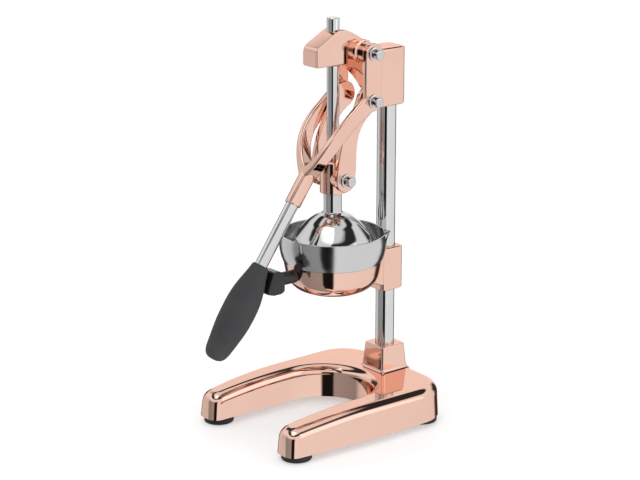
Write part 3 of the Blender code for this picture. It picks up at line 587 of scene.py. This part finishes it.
# ------------------------------------------------------------------ lever rod and grip
rod_end = GRIP_START + 84.0
profile = [(0, -8.4), (6.4, -8.4), (7.0, -9.0), (7.0, 0.6 - rod_end), (6.4, -rod_end), (0, -rod_end)]
lever_rod = turned("lever_bar", profile, (0, *JUNCTION), (LEVER_TILT, 0, 0), 128)
finish_piece(lever_rod, "lever", BRUSHED, ["lever_rod"])
GRIP_TABLE = [(0.0, 8.4), (0.9, 9.3), (5.0, 10.2), (11.0, 11.6), (19.0, 13.8), (28.0, 16.0), (38.0, 17.6),
              (49.0, 18.3), (60.0, 18.2), (70.0, 17.7), (84.0, 15.9), (93.0, 14.5), (100.0, 13.3), (105.0, 11.7),
              (108.4, 9.3), (110.2, 6.2), (110.9, 3.0), (111.0, 0.0)]
grip_line = rounded_line([(r, -(GRIP_START + d)) for d, r in GRIP_TABLE], (1,), 4)
grip_bore = [(0.0, -(GRIP_START + GRIP_INNER)), (LEVER_BORE, -(GRIP_START + GRIP_INNER)),
             (LEVER_BORE, -GRIP_START)]


def grip_bow(x, y, z):
    """Bows the outside of the grip, and leaves its bore straight."""
    share = min(max((-z - GRIP_START) / GRIP_LENGTH, 0.0), 1.0)
    outer = sqrt(x * x + y * y) > LEVER_BORE + 1.0
    return (x, y + (GRIP_BOW * sin(pi * share) if outer else 0.0), z)


grip = turned("grip", grip_bore + grip_line, (0, *JUNCTION), (LEVER_TILT, 0, 0), 96, bend=grip_bow)
finish_piece(grip, "lever", GRIP, ["lever_grip"])

# ------------------------------------------------------------------ links and pivot hardware
link_outline = arc(P3[0], P3[1], 12.9, 165, 375, 40)
link_outline += rounded_line([(13.5, 286.0), (13.6, 297.0), (14.1, 308.4), (15.6, 317.3), (18.1, 325.3),
                              (22.6, 333.4), (28.6, 340.2), (34.5, 345.0)], steps=4)
link_outline += arc(P2[0], P2[1], 14.4, -58, 165, 36)
link_outline += rounded_line([(14.6, 356.0), (10.6, 347.5), (4.6, 337.0), (-1.2, 326.0), (-5.9, 314.6),
                              (-9.6, 301.0), (-11.8, 288.0)], steps=4)


def cap_bolt(name, y, z, side, x_face, x_end, body, node):
    """A bolt that enters from outside: its head stands on x_face, its shank ends at x_end."""
    shank = x_face - x_end
    profile = [(0, -shank), (PIN - 0.5, -shank), (PIN, -shank + 0.5), (PIN, 0.0), (5.6, 0.0), (5.6, 6.5),
               (5.45, 7.1), (5.0, 7.6), (4.4, 7.8), (2.6, 7.9), (0, 7.9)]
    obj = turned(name, profile, (side * x_face, y, z), outward(side), 64)
    finish_piece(obj, body, CHROME, [node])


def washer(name, y, z, side, x0, x1, radius, body, node, slot="chrome", look=CHROME):
    """A ring on a pivot, between two distances from the middle of the press."""
    t = x1 - x0
    profile = [(PIN + GAP, 0), (radius, 0), (radius, t - 0.5), (radius - 0.15, t - 0.15), (radius - 0.5, t),
               (PIN + GAP, t)]
    obj = turned(name, profile, (side * x0, y, z), outward(side), 64, closed=True)
    finish_piece(obj, body, look, [node])


for side, tag in SIDES:
    x_in, x_out = sorted((side * LINK_IN, side * LINK_OUT))
    link = plate("link_plate_" + tag, link_outline, x_in, x_out, 1.2)
    cut(link, hole(PIN + GAP, (side * (LINK_IN + LINK_SKIN), *P2), 20, outward(side)),
        hole(PIN + GAP, (side * (LINK_IN + LINK_SKIN), *P3), 20, outward(side)))
    finish_piece(link, "links", COPPER, ["link_" + tag], 32, True)
    washer("p1_washer_" + tag, *P1, side, CHEEK_OUT + GAP, CHEEK_OUT + 1.8, 7.8, "frame", "pivot_washer_" + tag)
    cap_bolt("p1_bolt_" + tag, *P1, side, CHEEK_OUT + 2.1, 13.0, "frame", "pivot_bolt_" + tag)
    washer("p2_washer_" + tag, *P2, side, CHEEK_OUT + GAP, CHEEK_OUT + 1.8, 7.8, "lever", "fork_washer_" + tag)
    washer("p2_spacer_" + tag, *P2, side, LINK_OUT + 0.25, CHEEK_IN - 0.25, 9.0, "lever", "fork_spacer_" + tag,
           "steel", STEEL)
    cap_bolt("p2_bolt_" + tag, *P2, side, CHEEK_OUT + 2.1, LINK_IN + 1.5, "lever", "fork_bolt_" + tag)
    washer("p3_washer_" + tag, *P3, side, LINK_OUT + GAP, LINK_OUT + 1.8, 7.8, "links", "link_washer_" + tag)
    cap_bolt("p3_bolt_" + tag, *P3, side, LINK_OUT + 2.1, LINK_IN + 1.5, "links", "link_bolt_" + tag)

# ------------------------------------------------------------------ plunger
plunger = turned("plunger", [(0, 222.0), (6.1, 222.0), (6.7, 222.6), (6.7, 447.2), (6.5, 447.9), (6.0, 448.4),
                             (0, 448.4)], steps=128)
cut(plunger, hole(COLLAR_PIN_R, (0, -20, COLLAR_PIN_Z), 40, TOWARDS_REAR, 32))
finish_piece(plunger, "plunger", BRUSHED, ["plunger_rod"])
collar = turned("collar", [(0, 258.3), (13.0, 258.3), (13.7, 258.6), (14.0, 259.3), (14.0, 291.6), (13.7, 292.8),
                           (12.9, 293.7), (11.8, 294.0), (0, 294.0)])
join(collar, turned("collar_boss_form", [(0, -17.2), (10.2, -17.2), (10.8, -16.6), (10.8, 16.6), (10.2, 17.2),
                                         (0, 17.2)], (0, *P3), ALONG_X))
cut(collar, hole(ROD + GAP, (0, 0, 240), 70),
    hole(COLLAR_PIN_R, (0, -20, COLLAR_PIN_Z), 40, TOWARDS_REAR, 32))
finish_piece(collar, "plunger", COPPER, ["plunger_collar"], 32, True)
bell_line = rounded_line([(9.9, 258.0), (9.9, 240.0), (10.3, 237.4), (12.0, 236.0), (16.5, 234.4), (21.3, 231.6),
                          (27.3, 227.2), (31.2, 223.0), (36.2, 217.2), (41.0, 211.2), (43.8, 206.6),
                          (46.6, 201.0), (49.3, 195.0)], (1,), 5)
bell_inner = rounded_line([(49.3, 195.0), (48.4, 194.6), (47.9, 194.6), (45.2, 200.4), (42.4, 205.6),
                           (34.8, 215.8), (26.2, 225.2), (20.6, 228.8), (14.0, 230.6), (ROD + GAP, 230.6)],
                          (1, 8), 4)[1:]
finish_piece(turned("bell", [(ROD + GAP, 258.0)] + bell_line + bell_inner, steps=160, closed=True), "plunger",
             CHROME, ["press_bell"])

# ------------------------------------------------------------------ dish
LIP_ANGLE = atan2(0.78, 0.625)       # to the right and the rear
LIP_HALF_ANGLE = 0.235               # radians
LIP_PULL = 5.6                       # how far the rim reaches out
LIP_BOTTOM, LIP_HEIGHT = 199.0, 15.0
LIP_RISE = 0.12                      # rise of the rim for each millimetre of reach


def pour_lip(x, y, z):
    """Pulls the rim out into a small pouring lip; z is measured from the rim."""
    r = sqrt(x * x + y * y)
    away = (atan2(y, x) - LIP_ANGLE + pi) % (2 * pi) - pi
    lift = min(max((z + RIM_TOP - LIP_BOTTOM) / LIP_HEIGHT, 0.0), 1.0)
    pull = LIP_PULL * max(0.0, 1.0 - (away / LIP_HALF_ANGLE) ** 2) ** 1.5 * lift ** 2 if r > 50 else 0.0
    return (x * (1 + pull / r), y * (1 + pull / r), z + pull * LIP_RISE) if pull else (x, y, z)


outer = rounded_line([(56.9, 214.0), (57.5, 213.6), (57.5, 212.6), (57.9, 209.0), (58.35, 204.0), (58.3, 200.0),
                      (57.9, 195.5), (56.5, 189.0), (54.6, 183.8), (50.6, 183.7), (47.4, 173.6), (42.0, 165.0),
                      (33.0, 158.4), (22.0, 154.6), (14.0, 153.0), (13.0, 151.0), (13.0, 146.0)], (2, 8, 9, 15), 5)
inner = rounded_line([(11.4, 146.0), (11.4, 151.0), (13.0, 154.0), (22.0, 156.6), (32.0, 160.6), (40.4, 166.8),
                      (45.6, 174.4), (48.2, 183.4), (53.2, 185.4), (54.6, 188.4), (55.6, 192.0), (56.4, 196.4),
                      (56.8, 200.4), (56.8, 204.0), (56.3, 209.0), (55.9, 212.6), (55.9, 213.6), (56.4, 214.0)],
                     (1, 7, 8, 15), 5)
finish_piece(turned("dish", [(r, z - RIM_TOP) for r, z in outer + inner], (0, 0, RIM_TOP), steps=192, closed=True,
                    bend=pour_lip), "dish", SATIN, ["juice_dish"])

# ------------------------------------------------------------------ carried-over CAD nodes
CARRIED = {"strainer_plate": CHROME, "reamer_cone": CHROME, "guide_bush": BRONZE}
for name in ("column_bolt", "column_washer", "head_set_screw", "holder_set_screw", "rest_screw", "lever_pin",
             "collar_pin", "bell_nut", *("foot_screw_" + tag for tag in FEET)):
    CARRIED[name] = STEEL
for name, look in CARRIED.items():
    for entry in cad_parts[name].material_slots:
        entry.material = look

# ------------------------------------------------------------------ studio
FLOOR_HALF, FLOOR_Z = 9000, -0.6
floor = make("studio_floor", [(sx * FLOOR_HALF, sy * FLOOR_HALF, FLOOR_Z)
                              for sx, sy in ((-1, -1), (1, -1), (1, 1), (-1, 1))], [(0, 1, 2, 3)])
floor_mat, kit, shader = start_material("floor_white", (0.95, 0.95, 0.95))
shader.inputs["Base Color"].default_value = (0.93, 0.93, 0.93, 1.0)
shader.inputs["Roughness"].default_value = 0.6
shader.inputs["Emission Color"].default_value = (1.0, 1.0, 1.0, 1.0)
shader.inputs["Emission Strength"].default_value = 0.42
floor.data.materials.append(floor_mat)
floor.visible_glossy = False         # the metal reflects the studio, not the floor

world = bpy.data.worlds.new("studio")
bpy.context.scene.world = world
world.use_nodes = True
kit = Nodes(world.node_tree)
background = world.node_tree.nodes["Background"]
coord = kit.add("ShaderNodeTexCoord")
rotate = kit.add("ShaderNodeVectorRotate", rotation_type="Z_AXIS")
rotate.inputs["Angle"].default_value = -(CAMERA_AZIMUTH - pi / 2)
kit.link(coord.outputs["Generated"], rotate.inputs["Vector"])
split = kit.add("ShaderNodeSeparateXYZ")
kit.link(rotate.outputs["Vector"], split.inputs["Vector"])
azimuth = kit.add("ShaderNodeMath", operation="ARCTAN2")     # 0 behind the camera
kit.link(split.outputs["Y"], azimuth.inputs[0])
kit.link(split.outputs["X"], azimuth.inputs[1])
share = ranged(kit, azimuth.outputs[0], -pi, pi)
# Brightness by share of the turn: 0 and 1 behind the press, 0.5 behind the camera, above 0.5 to
# its right.  The dark bands give the polished metal its edges.
BANDS = [(0.0, 1.0), (0.03, 1.0), (0.04, 0.05), (0.10, 0.05), (0.12, 0.8), (0.22, 0.7), (0.26, 0.30),
         (0.42, 0.36), (0.432, 0.01), (0.50, 0.01), (0.515, 0.95), (0.84, 0.9), (0.87, 0.04), (0.93, 0.04),
         (0.95, 1.0)]
# Brightness by the Z of the direction, above the bands: white with one dark ring.
DOME = [(0.5, 0.95), (0.62, 0.95), (0.67, 0.03), (0.82, 0.03), (0.87, 0.9), (0.99, 0.85)]
BANDS_FADE = (0.27, 0.44)            # the bands give way to the dome between these Z
bands = ramp_through(kit, share, [(place, (level,) * 3) for place, level in BANDS])
dome = ramp_through(kit, split.outputs["Z"], [(place, (level,) * 3) for place, level in DOME])
blend = kit.add("ShaderNodeMix", data_type="RGBA")
kit.link(ranged(kit, split.outputs["Z"], *BANDS_FADE), blend.inputs["Factor"])
kit.link(bands, blend.inputs["A"])
kit.link(dome, blend.inputs["B"])
path = kit.add("ShaderNodeLightPath")   # the camera itself sees plain white
seen = kit.add("ShaderNodeMix", data_type="RGBA")
kit.link(path.outputs["Is Camera Ray"], seen.inputs["Factor"])
kit.link(blend.outputs["Result"], seen.inputs["A"])
seen.inputs["B"].default_value = (1.0, 1.0, 1.0, 1.0)
kit.link(seen.outputs["Result"], background.inputs["Color"])
background.inputs["Strength"].default_value = 1.0


def panel(name, where, size, power):
    """A soft light, in metres and watts, that faces a point low on the press."""
    light = bpy.data.lights.new(name, "AREA")
    light.shape, light.size, light.size_y, light.energy = "RECTANGLE", size[0], size[1], power
    obj = bpy.data.objects.new(name, light)
    bpy.context.scene.collection.objects.link(obj)
    obj.location = where
    obj.rotation_mode = "QUATERNION"
    obj.rotation_quaternion = (Vector(where) - Vector((0, 0, 0.2))).to_track_quat("Z", "Y")


panel("key_panel", (0.3, -0.9, 1.9), (1.2, 1.2), 4.0)
panel("side_panel", (1.6, 0.9, 1.0), (0.9, 1.4), 1.5)
